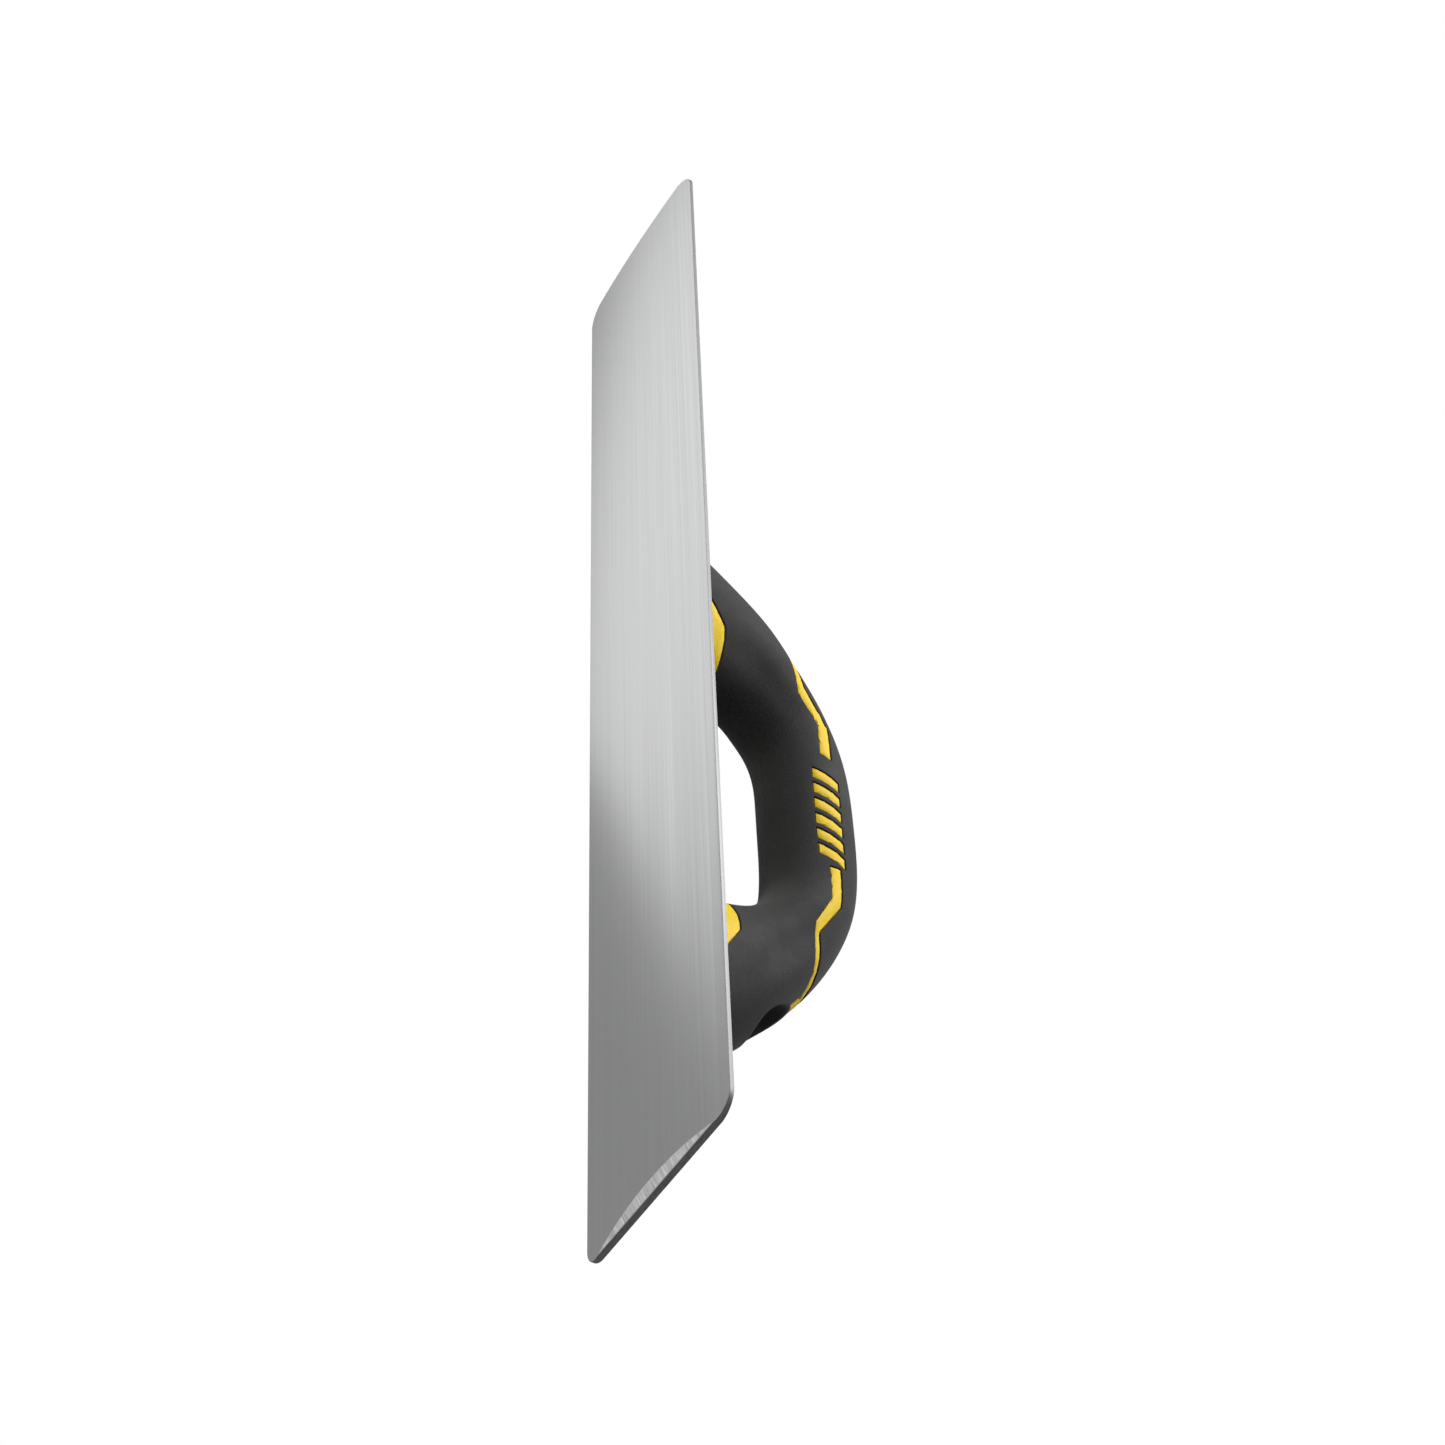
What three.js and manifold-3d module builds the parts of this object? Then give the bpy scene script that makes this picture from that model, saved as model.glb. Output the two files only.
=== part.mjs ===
// Hand finishing trowel: a crowned light-alloy blade with a closed, two-material D handle.
// Millimetres. +X runs along the blade to its toe, +Y across it, +Z up to the handle.
// The origin is under the middle of the blade, on the lowest line of its crown.
import * as THREE from "three";
import { mergeVertices } from "three/addons/utils/BufferGeometryUtils.js";
import Module from "manifold-3d";

const wasm = await Module();
wasm.setup();

// Blade
const BLADE_LENGTH = 500;
const BLADE_WIDTH = 80;
const BLADE_EDGE = 1.5;
const CROWN = 2.5;
const FLAT_HALF_WIDTH = 3;
const CORNER_RADIUS = 7.5;
const BEVEL_ANGLE = THREE.MathUtils.degToRad(30);
const BEVEL_HEIGHT = 1.7;
const BLADE_BACK = CROWN + BLADE_EDGE;

// Handle
const GAP = 0.3;
const FOOT_Z = BLADE_BACK + GAP;
const RUBBER_THICKNESS = 4;
const PRISM_HALF = 40;

// Fixings, the same at both feet
const FRONT_SCREW_X = 23;
const REAR_SCREW_X = -169.5;
const RECESS_RADIUS = 8.3;
const RECESS_LINING = 1.5;
const SEAT_Z = 24;
const BOSS_RADIUS = 5;
const BOSS_BORE_RADIUS = 3.4;
const BOSS_HEIGHT = 13;
const SHANK_RADIUS = 3;
const SHANK_START_Z = 6;
const FIT_CLEARANCE = 0.4;
const WASHER_RADIUS = 7.4;
const WASHER_THICKNESS = 1.2;
const LOCK_WASHER_RADIUS = 5.4;
const LOCK_WASHER_THICKNESS = 1.5;
const LOCK_WASHER_SPLIT = 1;
const HEAD_RADIUS = 5.8;
const HEAD_HEIGHT = 3.6;
const SOCKET_RADIUS = 2.9;
const SOCKET_DEPTH = 2.2;

// Stations along the handle from the front foot, over the grip, to the rear foot:
// [outer x, outer z, inner x, inner z, half width].
const STATIONS = [
  [51.5, FOOT_Z, -13, FOOT_Z, 19.5],
  [47, 14.5, -16.5, 14, 19],
  [37, 28, -21.5, 25.5, 18.3],
  [22, 44.4, -26, 34.5, 17.6],
  [5, 55.9, -31, 39.6, 17],
  [-12.4, 66, -38, 43.8, 16.4],
  [-31, 73.7, -47, 45.6, 16],
  [-50, 77.4, -57, 45.9, 16],
  [-70, 78.2, -72, 45.9, 16],
  [-89, 78, -88, 45.9, 16],
  [-108, 75.8, -101, 45.3, 16.2],
  [-126, 70, -111, 43.4, 16.6],
  [-146, 59.5, -120, 38.5, 17.4],
  [-168, 43.6, -127, 31, 18.4],
  [-186, 27, -130, 21, 19],
  [-195.5, 14, -131.6, 12, 19.4],
  [-199, FOOT_Z, -132, FOOT_Z, 19.6],
];

// Side views of the places where the core comes through the grip, as [x, z] outlines.
const FRONT_COLLAR = [[-40, 25], [-8, 24.8], [-3, 24], [30, 2.2], [30, 0], [-40, 0]];
const REAR_COLLAR = [[-110, 22.8], [-110, 0], [-190, 0], [-190, 2], [-153, 22.4], [-149, 22.8]];
const FRONT_STRIPE = [
  [24, 49.8], [-21, 52.6], [-33.2, 59.9], [-47.8, 59.9],
  [-49.4, 63.9], [-32.5, 64.3], [-17, 55.1], [24, 52.6],
];
const REAR_STRIPE = [
  [-103.8, 59.7], [-118.4, 59.5], [-131.4, 52.3], [-138, 52.5], [-150, 53.4], [-154, 53.2],
  [-162, 47.6], [-164, 54], [-157, 54.6], [-149.2, 56.5], [-134.9, 54.9], [-119.4, 63.7], [-103.2, 63.7],
];
const BAR_COUNT = 6;
const BAR_PITCH = 7.4;
const BAR_LENGTH = 4.4;
const BAR_SLANT = 3.4;
const BAR_BOTTOM = 56.4;
const BAR_TOP = 66;
const FIRST_BAR_X = -56.5;

const light_alloy = { color: 0xbfc1c3, roughness: 0.34, metalness: 1 };
const zinc_steel = { color: 0xaaadb0, roughness: 0.35, metalness: 1 };
const black_steel = { color: 0x2c2d2f, roughness: 0.45, metalness: 1 };
const yellow_plastic = { color: 0xf2cf2b, roughness: 0.42, metalness: 0 };
const grey_rubber = { color: 0x3e3e3f, roughness: 0.72, metalness: 0 };

// Turns a closed geometry into a solid that can be joined and cut.
function solidOf(geometry) {
  const bare = geometry.clone();
  bare.deleteAttribute("normal");
  bare.deleteAttribute("uv");
  const merged = mergeVertices(bare, 1e-4);
  return new wasm.Manifold(new wasm.Mesh({
    numProp: 3,
    vertProperties: Float32Array.from(merged.getAttribute("position").array),
    triVerts: Uint32Array.from(merged.getIndex().array),
  }));
}

// Turns a solid back into a geometry.
function geometryOf(solid) {
  const mesh = solid.getMesh();
  const geometry = new THREE.BufferGeometry();
  geometry.setAttribute("position", new THREE.BufferAttribute(mesh.vertProperties, mesh.numProp));
  geometry.setIndex(new THREE.BufferAttribute(mesh.triVerts, 1));
  geometry.computeVertexNormals();
  return geometry;
}

// A round bar standing on the line x, from one height to another.
function post(x, radius, bottom, top, sides = 24) {
  const geometry = new THREE.CylinderGeometry(radius, radius, top - bottom, sides);
  geometry.rotateX(Math.PI / 2);
  geometry.translate(x, 0, (bottom + top) / 2);
  return solidOf(geometry);
}

// A prism across the handle, with the side view given by an outline of [x, z] points.
function sidePrism(outline) {
  const shape = new THREE.Shape(outline.map(([x, z]) => new THREE.Vector2(x, z)));
  const geometry = new THREE.ExtrudeGeometry(shape, { depth: 2 * PRISM_HALF, bevelEnabled: false });
  geometry.rotateX(Math.PI / 2);
  geometry.translate(0, PRISM_HALF, 0);
  return solidOf(geometry);
}

// Moves every side of an anticlockwise or clockwise outline outwards by a distance.
function grownOutline(outline, distance) {
  const points = outline.map(([x, z]) => new THREE.Vector2(x, z));
  const sign = THREE.ShapeUtils.isClockWise(points) ? -1 : 1;
  return points.map((point, index) => {
    const before = points[(index + points.length - 1) % points.length];
    const after = points[(index + 1) % points.length];
    const first = point.clone().sub(before).normalize();
    const second = after.clone().sub(point).normalize();
    const normal = new THREE.Vector2(first.y + second.y, -first.x - second.x).multiplyScalar(sign);
    const spread = 1 + first.dot(second);
    return [point.x + (distance * normal.x) / spread, point.y + (distance * normal.y) / spread];
  });
}

// The height of the crowned underside at a distance from the middle line.
function crownHeight(y) {
  const half = BLADE_WIDTH / 2;
  const rise = Math.max(0, y * y - FLAT_HALF_WIDTH ** 2);
  return (CROWN * rise) / (half ** 2 - FLAT_HALF_WIDTH ** 2);
}

// The blade's section, flat on its back and crowned below, drawn along the blade.
function crownedSlab() {
  const half = BLADE_WIDTH / 2;
  const steps = 8;
  const side = Array.from({ length: steps + 1 }, (_, i) =>
    FLAT_HALF_WIDTH + ((half - FLAT_HALF_WIDTH) * i) / steps);
  const under = [...side.slice().reverse().map((y) => -y), ...side];
  const shape = new THREE.Shape(under.map((y) => new THREE.Vector2(y, crownHeight(y))));
  shape.lineTo(half, BLADE_BACK);
  shape.lineTo(-half, BLADE_BACK);
  const geometry = new THREE.ExtrudeGeometry(shape, { depth: BLADE_LENGTH, bevelEnabled: false });
  geometry.rotateX(Math.PI / 2);
  geometry.rotateZ(Math.PI / 2);
  geometry.translate(-BLADE_LENGTH / 2, 0, 0);
  return solidOf(geometry);
}

// The blade's plan with its four round corners, as a tall block.
function roundedPlan() {
  const x = BLADE_LENGTH / 2;
  const y = BLADE_WIDTH / 2;
  const r = CORNER_RADIUS;
  const shape = new THREE.Shape();
  shape.absarc(x - r, y - r, r, 0, Math.PI / 2);
  shape.absarc(r - x, y - r, r, Math.PI / 2, Math.PI);
  shape.absarc(r - x, r - y, r, Math.PI, 1.5 * Math.PI);
  shape.absarc(x - r, r - y, r, 1.5 * Math.PI, 2 * Math.PI);
  const options = { depth: 4 * BLADE_BACK, bevelEnabled: false, curveSegments: 12 };
  const geometry = new THREE.ExtrudeGeometry(shape, options);
  geometry.translate(0, 0, -BLADE_BACK);
  return solidOf(geometry);
}

// The wedge that bevels the underside of one end; side is 1 for the toe and -1 for the heel.
function endWedge(side) {
  const end = BLADE_LENGTH / 2;
  const reach = 6;
  const rise = reach * Math.tan(BEVEL_ANGLE);
  return sidePrism([
    [side * (end - reach), BEVEL_HEIGHT - rise],
    [side * (end + reach), BEVEL_HEIGHT - rise],
    [side * (end + reach), BEVEL_HEIGHT + rise],
  ].sort((a, b) => side * (a[0] - b[0])));
}

function makeBlade() {
  const slab = crownedSlab().intersect(roundedPlan());
  return geometryOf(slab.subtract(endWedge(1)).subtract(endWedge(-1)));
}

// A solid that follows the handle's stations, drawn in from the grip's surface by an inset.
function handleBody(inset, radialSides, rings) {
  const outer = new THREE.CatmullRomCurve3(STATIONS.map(([x, z, , , w]) => new THREE.Vector3(x, w, z)));
  const inner = new THREE.CatmullRomCurve3(STATIONS.map(([, , x, z, w]) => new THREE.Vector3(x, w, z)));
  const geometry = new THREE.CylinderGeometry(1, 1, 1, radialSides, rings);
  const position = geometry.getAttribute("position");
  for (let i = 0; i < position.count; i += 1) {
    const t = THREE.MathUtils.clamp(0.5 - position.getY(i), 0, 1);
    const top = outer.getPoint(t);
    const bottom = inner.getPoint(t);
    const width = top.y - inset;
    top.y = 0;
    bottom.y = 0;
    const centre = top.clone().add(bottom).multiplyScalar(0.5);
    const across = top.sub(bottom).multiplyScalar(0.5);
    across.setLength(across.length() - inset);
    centre.addScaledVector(across, position.getX(i));
    centre.y = width * position.getZ(i);
    position.setXYZ(i, centre.x, centre.y, centre.z);
  }
  return solidOf(geometry);
}

// The side view of one slanted bar in the row on each side of the grip.
function barOutline(index) {
  const x = FIRST_BAR_X - index * BAR_PITCH;
  return [
    [x, BAR_BOTTOM],
    [x - BAR_LENGTH, BAR_BOTTOM],
    [x - BAR_LENGTH - BAR_SLANT, BAR_TOP],
    [x - BAR_SLANT, BAR_TOP],
  ];
}

function showThroughOutlines() {
  const bars = Array.from({ length: BAR_COUNT }, (_, index) => barOutline(index));
  return [FRONT_COLLAR, REAR_COLLAR, FRONT_STRIPE, REAR_STRIPE, ...bars];
}

const SCREW_LINES = [FRONT_SCREW_X, REAR_SCREW_X];
const TOP_Z = 100;

// The yellow core: the handle's inside, with lands out to the surface.
function makeCore(skin) {
  const lands = showThroughOutlines()
    .map((outline) => sidePrism(outline).intersect(skin))
    .reduce((whole, land) => whole.add(land));
  const bossTop = BLADE_BACK + BOSS_HEIGHT;
  return SCREW_LINES.reduce((solid, x) => solid
    .subtract(post(x, RECESS_RADIUS + RECESS_LINING + GAP, SEAT_Z, TOP_Z))
    .subtract(post(x, SHANK_RADIUS + FIT_CLEARANCE, 0, TOP_Z))
    .subtract(post(x, BOSS_RADIUS + FIT_CLEARANCE, 0, bossTop + FIT_CLEARANCE)),
  handleBody(RUBBER_THICKNESS + GAP, 16, 28).add(lands));
}

// The grey grip: the skin less everything that the core fills, lining both screw recesses.
function makeGrip(skin) {
  const linings = SCREW_LINES
    .map((x) => post(x, RECESS_RADIUS + RECESS_LINING, SEAT_Z + GAP, TOP_Z))
    .reduce((whole, lining) => whole.add(lining));
  const windows = showThroughOutlines()
    .map((outline) => sidePrism(grownOutline(outline, GAP)))
    .reduce((whole, window) => whole.add(window));
  const hollow = handleBody(RUBBER_THICKNESS, 16, 28).subtract(linings).add(windows);
  return SCREW_LINES.reduce((solid, x) => solid
    .subtract(post(x, RECESS_RADIUS, SEAT_Z, TOP_Z)), skin.subtract(hollow));
}

function makeBoss(x) {
  const outside = post(x, BOSS_RADIUS, FOOT_Z, BLADE_BACK + BOSS_HEIGHT);
  return geometryOf(outside.subtract(post(x, BOSS_BORE_RADIUS, 0, TOP_Z)));
}

function makeWasher(x) {
  const disc = post(x, WASHER_RADIUS, SEAT_Z + GAP, SEAT_Z + GAP + WASHER_THICKNESS);
  return geometryOf(disc.subtract(post(x, SHANK_RADIUS + FIT_CLEARANCE, 0, TOP_Z)));
}

const LOCK_WASHER_Z = SEAT_Z + WASHER_THICKNESS + 2 * GAP;
const HEAD_Z = LOCK_WASHER_Z + LOCK_WASHER_THICKNESS + GAP;

function makeLockWasher(x) {
  const ring = post(x, LOCK_WASHER_RADIUS, LOCK_WASHER_Z, LOCK_WASHER_Z + LOCK_WASHER_THICKNESS)
    .subtract(post(x, SHANK_RADIUS + FIT_CLEARANCE, 0, TOP_Z));
  const split = new THREE.BoxGeometry(LOCK_WASHER_SPLIT, 2 * LOCK_WASHER_RADIUS, 2 * SEAT_Z);
  split.translate(x, LOCK_WASHER_RADIUS, LOCK_WASHER_Z);
  return geometryOf(ring.subtract(solidOf(split)));
}

// A pan-headed screw with a hexagon socket.
function makeScrew(x) {
  const rim = HEAD_HEIGHT * 0.45;
  const profile = [
    new THREE.Vector2(0, SHANK_START_Z),
    new THREE.Vector2(SHANK_RADIUS, SHANK_START_Z),
    new THREE.Vector2(SHANK_RADIUS, HEAD_Z),
    new THREE.Vector2(HEAD_RADIUS, HEAD_Z),
    new THREE.Vector2(HEAD_RADIUS, HEAD_Z + rim),
    new THREE.Vector2(HEAD_RADIUS * 0.86, HEAD_Z + HEAD_HEIGHT * 0.85),
    new THREE.Vector2(HEAD_RADIUS * 0.6, HEAD_Z + HEAD_HEIGHT),
    new THREE.Vector2(0, HEAD_Z + HEAD_HEIGHT),
  ];
  const geometry = new THREE.LatheGeometry(profile, 20);
  geometry.rotateX(Math.PI / 2);
  geometry.translate(x, 0, 0);
  const top = HEAD_Z + HEAD_HEIGHT;
  const socket = post(x, SOCKET_RADIUS, top - SOCKET_DEPTH, top + SOCKET_DEPTH, 6);
  return geometryOf(solidOf(geometry).subtract(socket));
}

const group = new THREE.Group();

function addPiece(name, geometry, finish) {
  const mesh = new THREE.Mesh(geometry, new THREE.MeshStandardMaterial(finish));
  mesh.name = name;
  group.add(mesh);
}

const skin = handleBody(0, 32, 46);
addPiece("blade", makeBlade(), light_alloy);
addPiece("handle_core", geometryOf(makeCore(skin)), yellow_plastic);
addPiece("soft_grip", geometryOf(makeGrip(skin)), grey_rubber);
for (const [end, x] of [["front", FRONT_SCREW_X], ["rear", REAR_SCREW_X]]) {
  addPiece(`${end}_boss`, makeBoss(x), light_alloy);
  addPiece(`${end}_flat_washer`, makeWasher(x), zinc_steel);
  addPiece(`${end}_lock_washer`, makeLockWasher(x), zinc_steel);
  addPiece(`${end}_screw`, makeScrew(x), black_steel);
}

export default group;
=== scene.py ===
"""A hand finishing trowel: a crowned, brushed light-alloy blade with a closed D handle.

The handle is a hard yellow core under a soft grey grip. The core shows through the grip as two
foot collars, two pairs of side stripes and a row of slanted bars. Two screws in deep recesses
hold the handle to bosses on the blade's back. The trowel is rigid: nothing on it moves.
"""

import logging
import math
from dataclasses import dataclass, field
from enum import Enum
from typing import Callable, Iterable, Sequence

import bmesh
import bpy
import numpy as np
from mathutils import Matrix, Vector


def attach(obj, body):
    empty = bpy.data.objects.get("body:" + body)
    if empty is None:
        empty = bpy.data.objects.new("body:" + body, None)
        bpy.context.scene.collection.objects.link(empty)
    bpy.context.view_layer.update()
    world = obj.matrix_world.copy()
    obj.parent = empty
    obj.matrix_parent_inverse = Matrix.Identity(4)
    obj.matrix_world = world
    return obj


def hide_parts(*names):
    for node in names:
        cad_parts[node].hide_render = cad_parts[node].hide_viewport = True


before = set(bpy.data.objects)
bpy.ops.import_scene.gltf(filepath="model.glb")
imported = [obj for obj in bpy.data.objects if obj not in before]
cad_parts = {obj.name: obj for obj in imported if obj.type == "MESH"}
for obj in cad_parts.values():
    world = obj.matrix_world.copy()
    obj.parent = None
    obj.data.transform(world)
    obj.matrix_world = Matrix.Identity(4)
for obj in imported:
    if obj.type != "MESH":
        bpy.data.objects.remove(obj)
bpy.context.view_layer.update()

LOG = logging.getLogger("trowel")
MM = 0.001
BODY = "root"
CUT_TOLERANCE = 1e-7
MIRROR_TOLERANCE = 1e-6
WHITE = (1.0, 1.0, 1.0, 1.0)

Outline2D = list[tuple[float, float]]


class Slot(Enum):
    """The record's material slots."""

    BLADE = "blade_metal"
    CORE = "core_plastic"
    GRIP = "grip_rubber"
    WASHER = "washer_steel"
    SCREW = "screw_steel"


class Shading(Enum):
    """How a mesh is shaded, with the angle in degrees past which its edges are sharp."""

    BY_ANGLE = 34
    WEIGHTED = 27


# ---------------------------------------------------------------------------------------------
# Shared effects: shader node groups
# ---------------------------------------------------------------------------------------------


def new_group(name: str, inputs: dict[str, tuple[str, object]], outputs: dict[str, str]):
    """Starts a shader node group with named inputs and outputs.

    Args:
        name: The group's name.
        inputs: Each input's socket type and default value, by name.
        outputs: Each output's socket type, by name.

    Returns:
        The node tree, its Group Input node and its Group Output node.
    """
    tree = bpy.data.node_groups.new(name, "ShaderNodeTree")
    for label, (kind, default) in inputs.items():
        socket = tree.interface.new_socket(name=label, in_out="INPUT", socket_type=kind)
        if default is not None:
            socket.default_value = default
    for label, kind in outputs.items():
        tree.interface.new_socket(name=label, in_out="OUTPUT", socket_type=kind)
    return tree, tree.nodes.new("NodeGroupInput"), tree.nodes.new("NodeGroupOutput")


def add_node(tree: bpy.types.NodeTree, kind: str, **settings: object) -> bpy.types.Node:
    """Adds a node, sets its properties, and sets or links its inputs.

    Args:
        tree: The node tree.
        kind: The node's class name.
        settings: Properties by name, and inputs as ``in_Socket_Name`` or ``in_0``, each given a
            value or the socket that feeds it.

    Returns:
        The new node.
    """
    node = tree.nodes.new(kind)
    for key, value in settings.items():
        if not key.startswith("in_"):
            setattr(node, key, value)
            continue
        label = key[3:].replace("_", " ")
        socket = node.inputs[int(label) if label.isdigit() else label]
        if isinstance(value, bpy.types.NodeSocket):
            tree.links.new(value, socket)
        else:
            socket.default_value = value
    return node


def directional_grain() -> bpy.types.NodeTree:
    """Makes the fine parallel lines that brushing or grinding leaves.

    Returns:
        A group with Vector, Along, Across and Depth inputs, in lines per metre, Seed and Bands
        inputs, and Tone and Height outputs. Bands is the share of the broad, soft stripes.
    """
    tree, start, end = new_group(
        "directional_grain",
        {
            "Vector": ("NodeSocketVector", None),
            "Along": ("NodeSocketFloat", 6.0),
            "Across": ("NodeSocketFloat", 1500.0),
            "Depth": ("NodeSocketFloat", 400.0),
            "Seed": ("NodeSocketFloat", 0.0),
            "Bands": ("NodeSocketFloat", 0.25),
        },
        {"Tone": "NodeSocketFloat", "Height": "NodeSocketFloat"},
    )
    along, across, depth = (start.outputs[name] for name in ("Along", "Across", "Depth"))
    rates = add_node(tree, "ShaderNodeCombineXYZ", in_0=along, in_1=across, in_2=depth)
    stretched = add_node(
        tree, "ShaderNodeVectorMath", operation="MULTIPLY",
        in_0=start.outputs["Vector"], in_1=rates.outputs[0],
    )
    fine, broad = (
        add_node(
            tree, "ShaderNodeTexNoise", noise_dimensions="4D", in_Scale=scale, in_Detail=detail,
            in_Vector=stretched.outputs[0], in_W=start.outputs["Seed"],
        ).outputs["Fac"]
        for scale, detail in ((1.0, 3.0), (0.16, 2.0))
    )
    blend = add_node(
        tree, "ShaderNodeMix", data_type="FLOAT",
        in_0=start.outputs["Bands"], in_2=fine, in_3=broad,
    )
    tone = add_node(
        tree, "ShaderNodeMapRange", in_From_Min=0.3, in_From_Max=0.7, in_Value=blend.outputs[0]
    )
    tree.links.new(tone.outputs[0], end.inputs["Tone"])
    tree.links.new(fine, end.inputs["Height"])
    return tree


def moulded_grain() -> bpy.types.NodeTree:
    """Makes the fine pebbled surface of a moulded part, with broad uneven patches.

    Returns:
        A group with Vector and Pebbles inputs, in pebbles per metre, and with Tone, Patches and
        Height outputs.
    """
    tree, start, end = new_group(
        "moulded_grain",
        {"Vector": ("NodeSocketVector", None), "Pebbles": ("NodeSocketFloat", 2200.0)},
        {"Tone": "NodeSocketFloat", "Patches": "NodeSocketFloat", "Height": "NodeSocketFloat"},
    )
    place = start.outputs["Vector"]
    pebbles = add_node(
        tree, "ShaderNodeTexNoise", in_Detail=2.0, in_Roughness=0.6,
        in_Vector=place, in_Scale=start.outputs["Pebbles"],
    ).outputs["Fac"]
    patches = add_node(
        tree, "ShaderNodeTexNoise", in_Scale=42.0, in_Detail=4.0, in_Roughness=0.6, in_Vector=place
    ).outputs["Fac"]
    ranges = {"Tone": (pebbles, 0.35, 0.65), "Patches": (patches, 0.36, 0.66)}
    for label, (noise, low, high) in ranges.items():
        spread = add_node(
            tree, "ShaderNodeMapRange", in_From_Min=low, in_From_Max=high, in_Value=noise
        )
        tree.links.new(spread.outputs[0], end.inputs[label])
    tree.links.new(pebbles, end.inputs["Height"])
    return tree


def stray_scratches() -> bpy.types.NodeTree:
    """Makes sparse thin scratches in two crossing directions.

    Returns:
        A group with Vector and Amount inputs and a Mask output.
    """
    tree, start, end = new_group(
        "stray_scratches",
        {"Vector": ("NodeSocketVector", None), "Amount": ("NodeSocketFloat", 0.5)},
        {"Mask": "NodeSocketFloat"},
    )
    masks = []
    for turn, seed in ((0.5, 3.0), (-0.9, 11.0)):
        turned = add_node(
            tree, "ShaderNodeVectorRotate", rotation_type="Z_AXIS",
            in_Angle=turn, in_Vector=start.outputs["Vector"],
        )
        stretched = add_node(
            tree, "ShaderNodeVectorMath", operation="MULTIPLY",
            in_0=turned.outputs[0], in_1=(22.0, 900.0, 60.0),
        )
        noise = add_node(
            tree, "ShaderNodeTexNoise", noise_dimensions="4D",
            in_W=seed, in_Scale=1.0, in_Vector=stretched.outputs[0],
        )
        masks.append(add_node(
            tree, "ShaderNodeMapRange",
            in_From_Min=0.68, in_From_Max=0.78, in_Value=noise.outputs["Fac"],
        ).outputs[0])
    both = add_node(tree, "ShaderNodeMath", operation="MAXIMUM", in_0=masks[0], in_1=masks[1])
    scaled = add_node(
        tree, "ShaderNodeMath", operation="MULTIPLY", use_clamp=True,
        in_0=both.outputs[0], in_1=start.outputs["Amount"],
    )
    tree.links.new(scaled.outputs[0], end.inputs["Mask"])
    return tree


@dataclass
class EffectLibrary:
    """The shared effects, each built once."""

    grain: bpy.types.NodeTree = field(default_factory=directional_grain)
    moulded: bpy.types.NodeTree = field(default_factory=moulded_grain)
    scratches: bpy.types.NodeTree = field(default_factory=stray_scratches)


# ---------------------------------------------------------------------------------------------
# Finishes
# ---------------------------------------------------------------------------------------------


class MaterialMaker:
    """Builds one Principled material whose pattern reads Object coordinates."""

    def __init__(self, name: str) -> None:
        """Starts an empty material with its shader, output and coordinates."""
        self.material = bpy.data.materials.new(name)
        self.material.use_nodes = True
        self.tree = self.material.node_tree
        self.shader = self.tree.nodes["Principled BSDF"]
        self.coordinates = add_node(self.tree, "ShaderNodeTexCoord").outputs["Object"]

    def place(self, effect: bpy.types.NodeTree, **values: float) -> bpy.types.Node:
        """Places a shared effect, fed with the coordinates.

        Args:
            effect: The effect's node group.
            values: Its inputs by name.

        Returns:
            The group node.
        """
        node = add_node(
            self.tree, "ShaderNodeGroup", node_tree=effect, in_Vector=self.coordinates
        )
        for label, value in values.items():
            node.inputs[label].default_value = value
        return node

    def blended(
        self,
        factor: bpy.types.NodeSocket,
        under: Sequence[float] | bpy.types.NodeSocket,
        top: Sequence[float],
    ) -> bpy.types.NodeSocket:
        """Blends two colours by a factor.

        Args:
            factor: What drives the blend, from 0 to 1.
            under: The colour at 0, or its socket.
            top: The colour at 1.

        Returns:
            The blended colour's socket.
        """
        low = under if isinstance(under, bpy.types.NodeSocket) else (*under, 1.0)
        return add_node(
            self.tree, "ShaderNodeMix", data_type="RGBA",
            in_Factor=factor, in_A=low, in_B=(*top, 1.0),
        ).outputs["Result"]

    def ranged(self, value: bpy.types.NodeSocket, low: float, high: float) -> bpy.types.NodeSocket:
        """Spreads a value from 0 to 1 over a new range.

        Args:
            value: The value's socket.
            low: What 0 becomes.
            high: What 1 becomes.

        Returns:
            The new value's socket.
        """
        return add_node(
            self.tree, "ShaderNodeMapRange", in_To_Min=low, in_To_Max=high, in_Value=value
        ).outputs["Result"]

    def feed(self, label: str, socket: bpy.types.NodeSocket) -> None:
        """Links a socket to one of the shader's inputs."""
        self.tree.links.new(socket, self.shader.inputs[label])

    def bump(self, height: bpy.types.NodeSocket, depth: float) -> None:
        """Turns a height from 0 to 1 into relief of a depth in metres."""
        node = add_node(
            self.tree, "ShaderNodeBump", in_Distance=depth, in_Strength=1.0, in_Height=height
        )
        self.feed("Normal", node.outputs["Normal"])


@dataclass(frozen=True)
class BrushedMetal:
    """Bare metal with parallel grain along X."""

    name: str
    dark: tuple[float, float, float]
    light: tuple[float, float, float]
    smooth: float
    rough: float
    along: float = 5.0
    across: float = 1400.0
    depth: float = 300.0
    relief: float = 0.000006
    scratches: float = 0.35

    def material(self, effects: EffectLibrary) -> bpy.types.Material:
        """Builds the material from the shared effects."""
        maker = MaterialMaker(self.name)
        grain = maker.place(effects.grain, Along=self.along, Across=self.across, Depth=self.depth)
        marks = maker.place(effects.scratches, Amount=self.scratches)
        tone = maker.blended(grain.outputs["Tone"], self.dark, self.light)
        maker.feed("Base Color", maker.blended(marks.outputs["Mask"], tone, self.light))
        maker.feed("Roughness", maker.ranged(grain.outputs["Tone"], self.rough, self.smooth))
        maker.bump(grain.outputs["Height"], self.relief)
        maker.shader.inputs["Metallic"].default_value = 1.0
        return maker.material


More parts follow.
